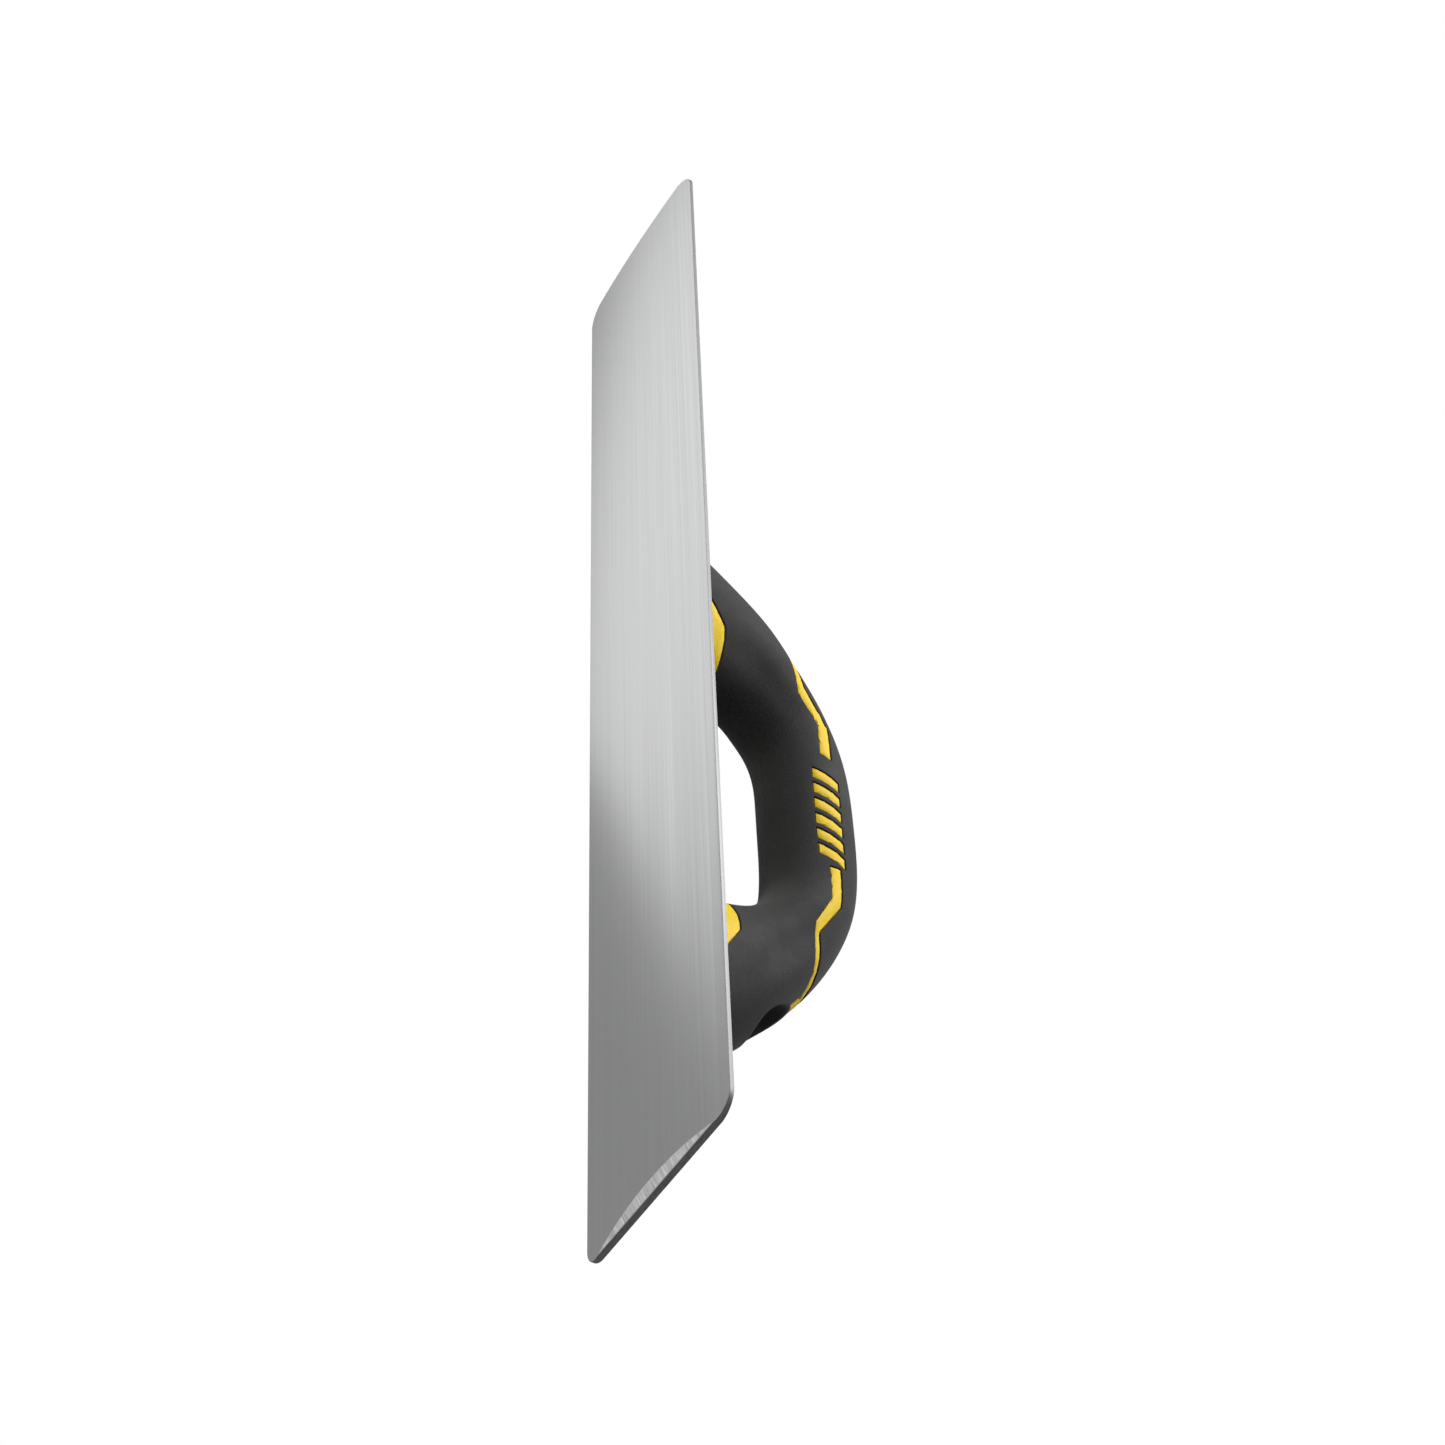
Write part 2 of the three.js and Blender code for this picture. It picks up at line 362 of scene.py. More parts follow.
@dataclass(frozen=True)
class MouldedPolymer:
    """Moulded plastic or rubber with a fine pebbled surface."""

    name: str
    dark: tuple[float, float, float]
    light: tuple[float, float, float]
    worn: tuple[float, float, float]
    smooth: float
    rough: float
    pebbles: float
    relief: float
    specular: float = 0.5
    sheen: float = 0.0

    def material(self, effects: EffectLibrary) -> bpy.types.Material:
        """Builds the material from the shared effects."""
        maker = MaterialMaker(self.name)
        grain = maker.place(effects.moulded, Pebbles=self.pebbles)
        marks = maker.place(effects.scratches, Amount=0.25)
        tone = maker.blended(grain.outputs["Tone"], self.dark, self.light)
        maker.feed("Base Color", maker.blended(marks.outputs["Mask"], tone, self.worn))
        maker.feed("Roughness", maker.ranged(grain.outputs["Patches"], self.smooth, self.rough))
        maker.bump(grain.outputs["Height"], self.relief)
        maker.shader.inputs["Specular IOR Level"].default_value = self.specular
        maker.shader.inputs["Sheen Weight"].default_value = self.sheen
        return maker.material


BLADE_FACE = BrushedMetal(
    "brushed_blade", (0.69, 0.695, 0.70), (0.81, 0.815, 0.82), 0.3, 0.38, across=2400.0
)
GROUND_END = BrushedMetal(
    "ground_bevel", (0.62, 0.62, 0.625), (0.95, 0.95, 0.95), 0.3, 0.5, along=60.0, relief=0.00001
)
# The edge metal's grain and roughness are its own; its dark colour is painted shade on the blade's
# side walls and ends.
MILLED_EDGE_PAINTED_SHADE = BrushedMetal(
    "milled_edge_painted_shade", (0.15, 0.15, 0.154), (0.28, 0.28, 0.284), 0.38, 0.55, across=500.0, depth=2600.0
)
ZINC_PLATE = BrushedMetal(
    "zinc_plate", (0.55, 0.56, 0.58), (0.75, 0.76, 0.78), 0.25, 0.4, along=500.0, across=500.0
)
BLACK_OXIDE = BrushedMetal(
    "black_oxide", (0.02, 0.02, 0.022), (0.05, 0.05, 0.052), 0.3, 0.5, along=600.0, across=600.0
)
YELLOW_CORE = MouldedPolymer(
    "yellow_core", (0.84, 0.57, 0.022), (0.9, 0.64, 0.032), (0.93, 0.72, 0.12),
    0.38, 0.52, pebbles=1500.0, relief=0.00002, specular=0.14,
)
SOFT_RUBBER = MouldedPolymer(
    "soft_rubber", (0.020, 0.020, 0.0203), (0.032, 0.032, 0.0325), (0.05, 0.05, 0.05),
    0.56, 0.72, pebbles=1900.0, relief=0.00006, specular=0.12, sheen=0.1,
)


# ---------------------------------------------------------------------------------------------
# Mesh helpers
# ---------------------------------------------------------------------------------------------


def finish_piece(
    name: str,
    mesh: bmesh.types.BMesh,
    replaced: str,
    materials: Sequence[bpy.types.Material],
    shading: Shading = Shading.BY_ANGLE,
    wall: float = 0.0,
) -> bpy.types.Object:
    """Turns a bmesh into a finished piece that stands for a node.

    Args:
        name: The piece's name.
        mesh: The bmesh, which is freed.
        replaced: The node that it stands for.
        materials: Its materials, in the order of its faces' indices.
        shading: How its edges are shaded.
        wall: The thickness given to an open skin, or 0 for a closed body.

    Returns:
        The piece.
    """
    data = bpy.data.meshes.new(name)
    mesh.to_mesh(data)
    mesh.free()
    piece = bpy.data.objects.new(name, data)
    bpy.context.scene.collection.objects.link(piece)
    if wall:
        solid = piece.modifiers.new("wall", "SOLIDIFY")
        solid.thickness = wall
        solid.offset = -1.0
        piece.data = bpy.data.meshes.new_from_object(
            piece.evaluated_get(bpy.context.evaluated_depsgraph_get())
        )
        piece.data.name = name
        piece.modifiers.clear()
    for material in materials:
        piece.data.materials.append(material)
    piece.data.shade_smooth()
    piece.data.set_sharp_from_angle(angle=math.radians(shading.value))
    if shading is Shading.WEIGHTED:
        weighted = piece.modifiers.new("weighted", "WEIGHTED_NORMAL")
        weighted.keep_sharp = True
    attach(piece, BODY)
    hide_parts(replaced)
    return piece


def whole(mesh: bmesh.types.BMesh) -> list:
    """Lists all of a bmesh's geometry, as bisect_plane takes it."""
    return [*mesh.verts, *mesh.edges, *mesh.faces]


def bounded(faces: Sequence[bmesh.types.BMFace]) -> list:
    """Lists faces with all their corners and edges, as bisect_plane takes them."""
    return [*faces, *{item for face in faces for item in (*face.verts, *face.edges)}]


def of_kind(geometry: Iterable, kind: type) -> list:
    """Picks the items of one kind out of an operator's mixed geometry."""
    return [item for item in geometry if isinstance(item, kind)]


def living(faces: Iterable[bmesh.types.BMFace]) -> list:
    """Lists the faces that are still in their mesh."""
    return [face for face in faces if face.is_valid]


def boundary(mesh: bmesh.types.BMesh) -> list:
    """Lists the open edges of a bmesh."""
    return [edge for edge in mesh.edges if edge.is_boundary]


def lip(distance: np.ndarray | float, radius: float) -> np.ndarray:
    """Gives how far a rounded edge sinks at a distance from it.

    Args:
        distance: The distances from the edge.
        radius: The edge's radius.

    Returns:
        The depths, 0 beyond the radius.
    """
    inside = np.clip(radius - distance, 0.0, radius)
    return radius - np.sqrt(radius**2 - inside**2)


def spun(profile: Outline2D, closed: bool, steps: int = 48) -> bmesh.types.BMesh:
    """Spins a profile of radius and height about the Z axis.

    Args:
        profile: The points of radius and height in millimetres.
        closed: Whether the profile joins up into a ring's section.
        steps: The number of steps around.

    Returns:
        The spun bmesh.
    """
    mesh = bmesh.new()
    points = [mesh.verts.new((radius * MM, 0.0, height * MM)) for radius, height in profile]
    pairs = zip(points, points[1:] + points[:1]) if closed else zip(points, points[1:])
    edges = [mesh.edges.new(pair) for pair in pairs]
    bmesh.ops.spin(
        mesh, geom=[*points, *edges], cent=(0, 0, 0), axis=(0, 0, 1),
        angle=math.tau, steps=steps, use_merge=True,
    )
    bmesh.ops.remove_doubles(mesh, verts=mesh.verts, dist=CUT_TOLERANCE)
    bmesh.ops.recalc_face_normals(mesh, faces=mesh.faces)
    return mesh


# ---------------------------------------------------------------------------------------------
# The blade
# ---------------------------------------------------------------------------------------------


@dataclass
class Blade:
    """The long crowned blade, flat on its back, with bevelled ends and round corners."""

    length: float = 500.0
    width: float = 80.0
    crown: float = 2.5
    edge: float = 1.5
    corner_radius: float = 7.5
    corner_steps: int = 16
    strips: int = 28
    bevel_angle: float = math.radians(30)
    bevel_height: float = 1.7
    chamfer: float = 0.3

    @property
    def back(self) -> float:
        """The height of the flat back."""
        return self.crown + self.edge

    def block(self) -> bmesh.types.BMesh:
        """Makes a flat block with four round corners, cut into strips along its length."""
        mesh = bmesh.new()
        size = Matrix.Diagonal((self.length * MM, self.width * MM, self.back * MM, 1.0))
        lift = Matrix.Translation((0, 0, self.back * MM / 2))
        bmesh.ops.create_cube(mesh, size=1.0, matrix=lift @ size)
        height = self.edge * MM
        uprights = [e for e in mesh.edges if abs(e.verts[0].co.z - e.verts[1].co.z) > height]
        bmesh.ops.bevel(
            mesh, geom=uprights, offset=self.corner_radius * MM, offset_type="OFFSET",
            segments=self.corner_steps, profile=0.5, affect="EDGES", material=-1,
        )
        for strip in range(1, self.strips):
            y = self.width * MM * (strip / self.strips - 0.5)
            bmesh.ops.bisect_plane(
                mesh, geom=whole(mesh), dist=CUT_TOLERANCE, plane_co=(0, y, 0), plane_no=(0, 1, 0)
            )
        return mesh

    def crown_underside(self, mesh: bmesh.types.BMesh) -> None:
        """Lifts the underside towards both long edges, in flat strips."""
        lines = np.linspace(-self.width / 2, self.width / 2, self.strips + 1)
        heights = self.crown * (2 * lines / self.width) ** 2
        for vert in mesh.verts:
            if vert.co.z < self.edge * MM / 2:
                vert.co.z = float(np.interp(vert.co.y / MM, lines, heights)) * MM

    def bevel_ends(self, mesh: bmesh.types.BMesh) -> None:
        """Cuts a slanting facet off the underside of each end."""
        for side in (1, -1):
            corner = Vector((side * self.length * MM / 2, 0, self.bevel_height * MM))
            normal = Vector((side * math.sin(self.bevel_angle), 0, -math.cos(self.bevel_angle)))
            cut = bmesh.ops.bisect_plane(
                mesh, geom=whole(mesh), dist=CUT_TOLERANCE,
                plane_co=corner, plane_no=normal, clear_outer=True,
            )
            bmesh.ops.contextual_create(mesh, geom=of_kind(cut["geom_cut"], bmesh.types.BMEdge))

    def ease_edges(self, mesh: bmesh.types.BMesh) -> None:
        """Chamfers every crisp edge around the blade."""
        crisp = [
            e for e in mesh.edges
            if len(e.link_faces) == 2 and e.calc_face_angle() > math.radians(50)
        ]
        bmesh.ops.bevel(
            mesh, geom=crisp, offset=self.chamfer * MM, offset_type="OFFSET",
            segments=2, profile=0.5, affect="EDGES", material=-1,
        )

    def paint(self, mesh: bmesh.types.BMesh) -> None:
        """Gives each face its finish: brushed face, ground bevel, or milled edge, whose dark
        colour is painted shade.
        """
        for face in mesh.faces:
            normal = face.normal
            slanted = 0.3 < abs(normal.x) < 0.7 and normal.z < -0.5
            if slanted and abs(face.calc_center_median().x) > 0.98 * self.length * MM / 2:
                face.material_index = 1
            # Upright faces take the edge metal, darkened with painted shade.
            elif abs(normal.z) < 0.5:
                face.material_index = 2

    def build(self, effects: EffectLibrary) -> None:
        """Builds and dresses the blade."""
        mesh = self.block()
        self.crown_underside(mesh)
        self.bevel_ends(mesh)
        self.ease_edges(mesh)
        bmesh.ops.recalc_face_normals(mesh, faces=mesh.faces)
        self.paint(mesh)
        finishes = [f.material(effects) for f in (BLADE_FACE, GROUND_END, MILLED_EDGE_PAINTED_SHADE)]
        finish_piece("blade_body", mesh, "blade", finishes, Shading.WEIGHTED)
        LOG.info("blade: %.0f x %.0f x %.1f mm", self.length, self.width, self.back)


# ---------------------------------------------------------------------------------------------
# The handle's form
# ---------------------------------------------------------------------------------------------

FOOT_Z = 4.3

# Outer x, outer z, inner x, inner z and half width, in millimetres, from the front foot to the
# rear foot.
STATIONS = (
    (51.5, FOOT_Z, -13, FOOT_Z, 19.5),
    (47, 14.5, -16.5, 14, 19),
    (37, 28, -21.5, 25.5, 18.3),
    (22, 44.4, -26, 34.5, 17.6),
    (5, 55.9, -31, 39.6, 17),
    (-12.4, 66, -38, 43.8, 16.4),
    (-31, 73.7, -47, 45.6, 16),
    (-50, 77.4, -57, 45.9, 16),
    (-70, 78.2, -72, 45.9, 16),
    (-89, 78, -88, 45.9, 16),
    (-108, 75.8, -101, 45.3, 16.2),
    (-126, 70, -111, 43.4, 16.6),
    (-146, 59.5, -120, 38.5, 17.4),
    (-168, 43.6, -127, 31, 18.4),
    (-186, 27, -130, 21, 19),
    (-195.5, 14, -131.6, 12, 19.4),
    (-199, FOOT_Z, -132, FOOT_Z, 19.6),
)


def smooth_table(values: np.ndarray, samples: int) -> np.ndarray:
    """Runs a natural cubic spline through evenly numbered values.

    Args:
        values: One row for each station.
        samples: How many rows to return.

    Returns:
        The spline's rows, evenly spaced from the first station to the last.
    """
    count = len(values)
    system = np.eye(count)
    load = np.zeros_like(values)
    for row in range(1, count - 1):
        system[row, row - 1 : row + 2] = (1.0, 4.0, 1.0)
        load[row] = 6.0 * (values[row - 1] - 2.0 * values[row] + values[row + 1])
    bend = np.linalg.solve(system, load)
    place = np.linspace(0.0, count - 1.0, samples)
    low = np.minimum(place.astype(int), count - 2)
    b = (place - low)[:, None]
    a = 1.0 - b
    return (
        a * values[low] + b * values[low + 1]
        + ((a**3 - a) * bend[low] + (b**3 - b) * bend[low + 1]) / 6.0
    )


@dataclass(frozen=True)
class Flute:
    """A shallow hollow along each side of the handle."""

    stations: tuple[float, ...]
    degrees: tuple[float, ...]
    depths: tuple[float, ...]
    half_width: float

    def depth(self, station: np.ndarray, angle: np.ndarray, radius: np.ndarray) -> np.ndarray:
        """Gives the hollow's depth in millimetres at each place."""
        centre = np.radians(np.interp(station, self.stations, self.degrees))
        reach = np.interp(station, self.stations, self.depths, left=0.0, right=0.0)
        across = (angle - centre) * radius / self.half_width
        return reach * np.exp(-(across**2))


@dataclass
class HandleForm:
    """The handle's outer surface, by station, angle from the outer ridge, and depth below it."""

    flutes: tuple[Flute, ...] = (
        Flute((1.0, 2.0, 3.2, 4.7, 6.0, 7.2), (126, 124, 121, 114, 108, 104),
              (0.0, 1.1, 1.5, 1.1, 0.5, 0.0), 6.5),
        Flute((10.6, 11.5, 12.3, 13.0, 13.7, 14.5), (50, 66, 76, 77, 68, 58),
              (0.0, 1.3, 2.5, 2.3, 1.3, 0.0), 6.5),
    )
    samples: int = 3201

    def __post_init__(self) -> None:
        """Prepares the smooth table of sections."""
        self.table = smooth_table(np.array(STATIONS, dtype=float), self.samples)
        self.last = len(STATIONS) - 1.0

    def place(self, station: np.ndarray, angle: np.ndarray, depth: np.ndarray) -> np.ndarray:
        """Finds points on or below the handle's plain surface.

        Args:
            station: The places along the handle, counted in stations.
            angle: The angles around it, from 0 at the outer ridge to pi on the inner line.
            depth: The depths below the surface in millimetres.

        Returns:
            One x, y, z row for each, in millimetres, with y never negative.
        """
        rows = np.array([
            np.interp(station, np.linspace(0, self.last, self.samples), column)
            for column in self.table.T
        ])
        outer, inner, width = rows[0:2], rows[2:4], rows[4]
        centre = (outer + inner) / 2
        across = (outer - inner) / 2
        reach = np.linalg.norm(across, axis=0)
        flat = centre + across * (1.0 - depth / reach) * np.cos(angle)
        return np.stack([flat[0], (width - depth) * np.sin(angle), flat[1]], axis=1)

    def hollows(self, station: np.ndarray, angle: np.ndarray) -> np.ndarray:
        """Gives the depth of the side flutes in millimetres at each place."""
        width = np.interp(station, np.linspace(0, self.last, self.samples), self.table[:, 4])
        return sum(flute.depth(station, angle, width) for flute in self.flutes)


class View(Enum):
    """The direction in which an outline is cut through the handle."""

    SIDE = (0, 2)
    PLAN = (0, 1)


@dataclass
class Outline:
    """A closed outline in millimetres, cut through the handle's surface."""

    points: Outline2D
    view: View = View.SIDE

    def grown(self, distance: float) -> np.ndarray:
        """Moves every side of the outline outwards by a distance."""
        points = np.array(self.points, dtype=float)
        before = points - np.roll(points, 1, axis=0)
        after = np.roll(points, -1, axis=0) - points
        before /= np.linalg.norm(before, axis=1)[:, None]
        after /= np.linalg.norm(after, axis=1)[:, None]
        x, y = points.T
        area = np.sum(x * np.roll(y, -1) - np.roll(x, -1) * y)
        normal = np.stack([before[:, 1] + after[:, 1], -before[:, 0] - after[:, 0]], axis=1)
        spread = 1.0 + np.sum(before * after, axis=1)
        return points + math.copysign(distance, area) * normal / spread[:, None]

    def distance(self, places: np.ndarray) -> np.ndarray:
        """Measures how far places lie from the outline.

        Args:
            places: One x, y, z row for each place, in millimetres.

        Returns:
            The distances, negative inside.
        """
        flat = places[:, list(self.view.value)]
        start = np.array(self.points, dtype=float)
        end = np.roll(start, -1, axis=0)
        nearest = np.full(len(flat), np.inf)
        inside = np.zeros(len(flat), dtype=bool)
        for a, b in zip(start, end):
            side = b - a
            share = np.clip((flat - a) @ side / (side @ side), 0.0, 1.0)
            nearest = np.minimum(nearest, np.linalg.norm(flat - a - share[:, None] * side, axis=1))
            if a[1] != b[1]:
                crosses = (flat[:, 1] > a[1]) != (flat[:, 1] > b[1])
                inside ^= crosses & (flat[:, 0] < a[0] + (flat[:, 1] - a[1]) * side[0] / side[1])
        return np.where(inside, -nearest, nearest)

    def plane(self, start: np.ndarray, end: np.ndarray) -> tuple[Vector, Vector]:
        """Gives the cutting plane through one side, as a point and a normal in metres."""
        side = (end - start) / np.linalg.norm(end - start)
        first, second = self.view.value
        point, normal = Vector(), Vector()
        point[first], point[second] = start * MM
        normal[first], normal[second] = side[1], -side[0]
        return point, normal


def slanted_bars() -> list[Outline]:
    """Lists the row of slanted bars on each side of the grip."""
    count, pitch, length, slant, low, high, first = 6, 7.4, 4.4, 3.4, 56.4, 66.0, -56.5
    bars = []
    for index in range(count):
        x = first - index * pitch
        bars.append(Outline([
            (x, low), (x - length, low), (x - length - slant, high), (x - slant, high),
        ]))
    return bars


def circle(x: float, radius: float, steps: int = 32) -> Outline:
    """Makes a round outline in plan, centred on the middle line."""
    turns = [math.tau * step / steps for step in range(steps)]
    return Outline([(x + radius * math.cos(t), radius * math.sin(t)) for t in turns], View.PLAN)


FRONT_COLLAR = Outline([(-40, 25), (-8, 24.8), (-3, 24), (30, 2.2), (30, 0), (-40, 0)])
REAR_COLLAR = Outline([
    (-110, 22.8), (-110, 0), (-190, 0), (-190, 2), (-153, 22.4), (-149, 22.8),
])
FRONT_STRIPE = Outline([
    (24, 49.8), (-21, 52.6), (-33.2, 59.9), (-47.8, 59.9),
    (-49.4, 63.9), (-32.5, 64.3), (-17, 55.1), (24, 52.6),
])
REAR_STRIPE = Outline([
    (-103.8, 59.7), (-118.4, 59.5), (-131.4, 53.3), (-138, 53.6), (-150, 54.2), (-155, 53.2),
    (-162, 48), (-164, 54), (-157, 54.6), (-149.2, 56.2), (-134.9, 55.1), (-119.4, 63.7),
    (-103.2, 63.7),
])
LAND_OUTLINES = [FRONT_COLLAR, REAR_COLLAR, FRONT_STRIPE, REAR_STRIPE, *slanted_bars()]

FRONT_SCREW_X = 23.0
REAR_SCREW_X = -169.5
SEAT_Z = 24.0
RECESS_RADIUS = 8.3
RECESS_LINING = 1.5
GAP = 0.3
SCREW_LINES = (FRONT_SCREW_X, REAR_SCREW_X)
CHANNEL_RADIUS = RECESS_RADIUS + RECESS_LINING + GAP


class HandleSkin:
    """The handle's surface as a mesh that remembers each vertex's station and angle."""

    def __init__(self, form: HandleForm, rings: int, columns: int) -> None:
        """Lays out one half of the plain surface, from the outer ridge to the inner line."""
        self.form = form
        self.mesh = bmesh.new()
        bmesh.ops.create_grid(self.mesh, x_segments=rings, y_segments=columns, size=0.5)
        self.station = self.mesh.verts.layers.float.new("station")
        self.angle = self.mesh.verts.layers.float.new("angle")
        for vert in self.mesh.verts:
            vert[self.station] = (vert.co.x + 0.5) * form.last
            vert[self.angle] = (vert.co.y + 0.5) * math.pi
            vert.co.y = 0.0
        self.settle(lambda station, angle, places: np.zeros(len(station)))

    def coordinates(self) -> tuple[np.ndarray, np.ndarray]:
        """Reads every vertex's station and angle."""
        rows = np.array([(v[self.station], v[self.angle]) for v in self.mesh.verts])
        return rows[:, 0], rows[:, 1]

    def settle(self, depth: Callable[[np.ndarray, np.ndarray, np.ndarray], np.ndarray]) -> None:
        """Puts every vertex on the surface, at a depth of its own.

        Args:
            depth: Gives the depths from the stations, the angles and the plain places.
        """
        station, angle = self.coordinates()
        sides = np.array([-1.0 if v.co.y < -1e-6 else 1.0 for v in self.mesh.verts])
        plain = self.form.place(station, angle, np.zeros(len(station)))
        places = self.form.place(station, angle, depth(station, angle, plain)) * MM
        places[:, 1] *= sides
        for vert, place in zip(self.mesh.verts, places):
            vert.co = place

    def cut(self, outline: Outline, offset: float, reach: float = 2.6) -> None:
        """Cuts the surface along an outline.

        Args:
            outline: The outline.
            offset: How far outside it the cut runs, in millimetres.
            reach: How near a face's middle has to be to a side to be cut by it.
        """
        corners = outline.grown(offset)
        first, second = outline.view.value
        low = (corners.min(axis=0) - reach) * MM
        high = (corners.max(axis=0) + reach) * MM
        near = {}
        for face in self.mesh.faces:
            middle = face.calc_center_median()
            if low[0] < middle[first] < high[0] and low[1] < middle[second] < high[1]:
                if outline.view is View.SIDE or middle.z > SEAT_Z * MM:
                    near[face] = middle
        for start, end in zip(corners, np.roll(corners, -1, axis=0)):
            point, normal = outline.plane(start, end)
            along = Vector((0, 0, 0))
            along[first], along[second] = (end - start) * MM
            length = along.length
            along.normalize()
            limit = reach * MM
            chosen = [
                face for face, middle in near.items()
                if abs((middle - point).dot(normal)) < limit
                and -limit < (middle - point).dot(along) < length + limit
            ]
            if not chosen:
                continue
            cut = bmesh.ops.bisect_plane(
                self.mesh, geom=bounded(chosen), dist=CUT_TOLERANCE,
                plane_co=point, plane_no=normal,
            )
            for face in chosen:
                near.pop(face, None)
            for face in of_kind(cut["geom"], bmesh.types.BMFace):
                near[face] = face.calc_center_median()

    def mirror(self) -> None:
        """Adds the other half and joins the two along the middle plane."""
        bmesh.ops.mirror(
            self.mesh, geom=whole(self.mesh), matrix=Matrix.Identity(4),
            merge_dist=MIRROR_TOLERANCE, axis="Y",
        )
        bmesh.ops.remove_doubles(self.mesh, verts=self.mesh.verts, dist=MIRROR_TOLERANCE)
        bmesh.ops.recalc_face_normals(self.mesh, faces=self.mesh.faces)
        self.face_outwards()

    def face_outwards(self) -> None:
        """Turns every face outwards, judged by the faces on the outer ridge."""
        top = max(self.mesh.faces, key=lambda face: face.calc_center_median().z)
        if top.normal.z < 0:
            bmesh.ops.reverse_faces(self.mesh, faces=self.mesh.faces)

    def faces_inside(self, outlines: Iterable[Outline], offset: float = 0.0) -> list:
        """Lists the faces whose middles lie inside any of the outlines.

        Args:
            outlines: The outlines.
            offset: How far outside them a face still counts as inside.

        Returns:
            The faces.
        """
        faces = list(self.mesh.faces)
        middles = np.array([face.calc_center_median() for face in faces]) / MM
        chosen = np.zeros(len(faces), dtype=bool)
        for outline in outlines:
            hit = outline.distance(middles) < offset
            if outline.view is View.PLAN:
                hit &= middles[:, 2] > SEAT_Z
            chosen |= hit
        return [face for face, take in zip(faces, chosen) if take]


# ---------------------------------------------------------------------------------------------
# The grip and the core
# ---------------------------------------------------------------------------------------------


@dataclass
class SoftGrip:
    """The grey overmoulding, with windows for the core and a lined recess over each screw."""

    form: HandleForm
    rings: int = 250
    columns: int = 48
    wall: float = 1.2
    window_lip: float = 0.3
    recess_lip: float = 1.2
    foot_lip: float = 0.8
    seam_height: float = 0.14
    seam_half_width: float = 0.35
    seam_angle: float = 2.4
    rim_reach: float = 0.25

    def recesses(self) -> list[Outline]:
        """Lists the two screw recesses."""
        return [circle(x, RECESS_RADIUS) for x in SCREW_LINES]

    def skin(self) -> HandleSkin:
        """Lays out the surface and cuts it along every window, recess and seam."""
        skin = HandleSkin(self.form, self.rings, self.columns)
        for outline in LAND_OUTLINES:
            for share in (0.0, 0.1, 0.35, 1.0):
                skin.cut(outline, GAP + share * self.window_lip)
        for recess in self.recesses():
            for share in (0.0, 0.1, 0.35, 0.65, 1.0):
                skin.cut(recess, share * self.recess_lip)
            skin.cut(recess, RECESS_LINING)
        for y in (self.seam_half_width, 2 * self.seam_half_width):
            inner = [
                face for face in skin.mesh.faces
                if all(vert[skin.angle] > self.seam_angle for vert in face.verts)
            ]
            bmesh.ops.bisect_plane(
                skin.mesh, geom=bounded(inner), dist=CUT_TOLERANCE,
                plane_co=(0, y * MM, 0), plane_no=(0, 1, 0),
            )
        skin.mirror()
        return skin

    def depth(self, station: np.ndarray, angle: np.ndarray, places: np.ndarray) -> np.ndarray:
        """Gives each place's depth: flutes, rounded window and recess edges, and the seam."""
        total = self.form.hollows(station, angle)
        ring = RECESS_LINING - self.rim_distance(angle, places)
        for outline in LAND_OUTLINES:
            clear = np.maximum(outline.distance(places) - GAP, ring)
            total = total + lip(np.maximum(clear, 0), self.window_lip)
        total = total + lip(places[:, 2] - FOOT_Z, self.foot_lip)
        seam = self.seam_height * np.exp(-((places[:, 1] / self.seam_half_width) ** 2))
        return total - np.where(angle > self.seam_angle, seam, 0.0)

    def rim_distance(self, angle: np.ndarray, places: np.ndarray) -> np.ndarray:
        """Measures how far outer places lie from the nearer recess's rim, in plan."""
        nearest = np.min([recess.distance(places) for recess in self.recesses()], axis=0)
        return np.where(angle < math.pi / 2, nearest, np.inf)

    def line_recesses(self, skin: HandleSkin) -> None:
        """Rounds the rim of each recess and draws it down to the seat as a smooth lining."""
        mesh = skin.mesh
        places = np.array([vert.co for vert in mesh.verts]) / MM
        clear = self.rim_distance(skin.coordinates()[1], places)
        rim_verts = set()
        for vert, distance in zip(list(mesh.verts), clear):
            if distance < self.rim_reach:
                rim_verts.add(vert)
            if distance < self.recess_lip:
                vert.co.z -= lip(max(distance, 0.0), self.recess_lip) * MM
        rim = [edge for edge in boundary(mesh) if rim_verts.issuperset(edge.verts)]
        drawn = bmesh.ops.extrude_edge_only(mesh, edges=rim)["geom"]
        for vert in of_kind(drawn, bmesh.types.BMVert):
            vert.co.z = (SEAT_Z + GAP) * MM

    def build(self, effects: EffectLibrary) -> None:
        """Builds and dresses the grip."""
        skin = self.skin()
        rings = set(skin.faces_inside(self.recesses(), RECESS_LINING))
        windows = set(skin.faces_inside(LAND_OUTLINES, GAP)) - rings
        openings = windows | set(skin.faces_inside(self.recesses()))
        bmesh.ops.delete(skin.mesh, geom=list(openings), context="FACES")
        skin.settle(self.depth)
        self.line_recesses(skin)
        bmesh.ops.recalc_face_normals(skin.mesh, faces=skin.mesh.faces)
        skin.face_outwards()
        LOG.info("soft grip: %d faces in its skin", len(skin.mesh.faces))
        finish_piece(
            "soft_grip_cover", skin.mesh, "soft_grip",
            [SOFT_RUBBER.material(effects)], wall=self.wall * MM,
        )


